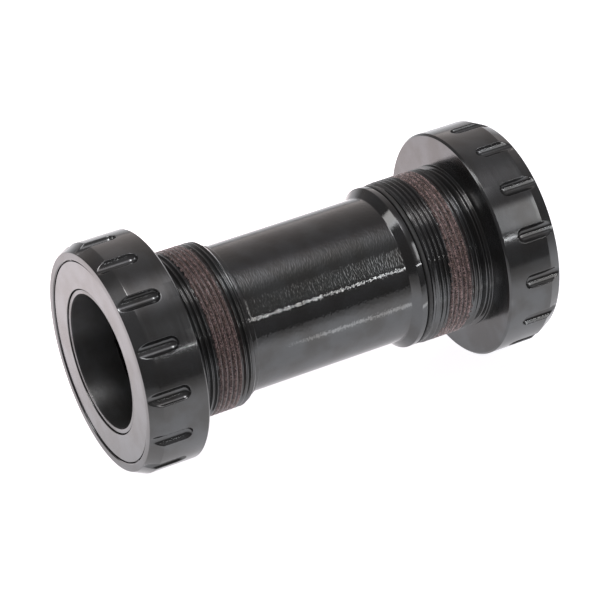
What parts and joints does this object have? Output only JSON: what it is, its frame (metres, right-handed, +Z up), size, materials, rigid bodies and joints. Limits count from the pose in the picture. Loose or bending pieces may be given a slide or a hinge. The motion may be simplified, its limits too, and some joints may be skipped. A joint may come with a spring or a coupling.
{
  "type": "bottom bracket",
  "caption": "Threaded bottom bracket: notched outboard bearing cups joined by a telescoping sleeve, with a through bore for the crank spindle.",
  "frame": {"origin": "middle of the assembly, on the spindle axis, midway between the two shoulders that clamp on the frame shell", "axes": "+Y along the spindle axis towards the left cup (right-hand thread), +X the way the bicycle rides, +Z up"},
  "size_m": [0.0478, 0.093, 0.0478],
  "materials": {
    "cup_anodised": "black anodised, satin gloss",
    "cover_anodised": "black anodised, turned flat face",
    "sleeve_anodised": "black anodised, glossy with fine turning lines",
    "bushing_anodised": "black anodised, satin",
    "bearing_steel": "ground and polished",
    "seal_rubber": "matte",
    "cage_nylon": "moulded, natural brown"
  },
  "bodies": {
    "left_side": {"left_cup": "cup_anodised", "left_dust_cover": "cover_anodised", "left_outer_race": "bearing_steel", "left_outboard_seal": "seal_rubber", "left_inboard_seal": "seal_rubber"},
    "left_rotor": {"left_inner_race": "bearing_steel", "left_bushing": "bushing_anodised"},
    "left_balls": {"left_ball_cage": "cage_nylon", "left_ball_01": "bearing_steel", "left_ball_02": "bearing_steel", "left_ball_03": "bearing_steel", "left_ball_04": "bearing_steel", "left_ball_05": "bearing_steel", "left_ball_06": "bearing_steel", "left_ball_07": "bearing_steel", "left_ball_08": "bearing_steel", "left_ball_09": "bearing_steel", "left_ball_10": "bearing_steel", "left_ball_11": "bearing_steel", "left_ball_12": "bearing_steel", "left_ball_13": "bearing_steel", "left_ball_14": "bearing_steel", "left_ball_15": "bearing_steel", "left_ball_16": "bearing_steel", "left_ball_17": "bearing_steel", "left_ball_18": "bearing_steel"},
    "right_side": {"right_cup": "cup_anodised", "right_dust_cover": "cover_anodised", "right_outer_race": "bearing_steel", "right_outboard_seal": "seal_rubber", "right_inboard_seal": "seal_rubber"},
    "right_rotor": {"right_inner_race": "bearing_steel", "right_bushing": "bushing_anodised"},
    "right_balls": {"right_ball_cage": "cage_nylon", "right_ball_01": "bearing_steel", "right_ball_02": "bearing_steel", "right_ball_03": "bearing_steel", "right_ball_04": "bearing_steel", "right_ball_05": "bearing_steel", "right_ball_06": "bearing_steel", "right_ball_07": "bearing_steel", "right_ball_08": "bearing_steel", "right_ball_09": "bearing_steel", "right_ball_10": "bearing_steel", "right_ball_11": "bearing_steel", "right_ball_12": "bearing_steel", "right_ball_13": "bearing_steel", "right_ball_14": "bearing_steel", "right_ball_15": "bearing_steel", "right_ball_16": "bearing_steel", "right_ball_17": "bearing_steel", "right_ball_18": "bearing_steel"},
    "sleeve": {"centre_sleeve": "sleeve_anodised", "sleeve_o_ring": "seal_rubber", "sleeve_seal_ring": "seal_rubber"}
  },
  "joints": [
    {"name": "right_bearing_spin", "type": "hinge", "parent": "right_side", "child": "right_rotor", "pos_m": [0, -0.041, 0], "axis": [0, 1, 0], "continuous": true},
    {"name": "right_cage_spin", "type": "hinge", "parent": "right_side", "child": "right_balls", "pos_m": [0, -0.041, 0], "axis": [0, 1, 0], "continuous": true},
    {"name": "left_bearing_spin", "type": "hinge", "parent": "left_side", "child": "left_rotor", "pos_m": [0, 0.041, 0], "axis": [0, 1, 0], "continuous": true},
    {"name": "left_cage_spin", "type": "hinge", "parent": "left_side", "child": "left_balls", "pos_m": [0, 0.041, 0], "axis": [0, 1, 0], "continuous": true},
    {"name": "sleeve_turn", "type": "hinge", "parent": "right_side", "child": "sleeve", "pos_m": [0, 0, 0], "axis": [0, 1, 0], "continuous": true},
    {"name": "left_cup_slide", "type": "slide", "parent": "sleeve", "child": "left_side", "axis": [0, 1, 0], "range_m": [0, 0.005]}
  ],
  "couplings": [
    {"joint": "right_cage_spin", "follows": "right_bearing_spin", "ratio": 0.4559},
    {"joint": "left_cage_spin", "follows": "left_bearing_spin", "ratio": 0.4559}
  ]
}
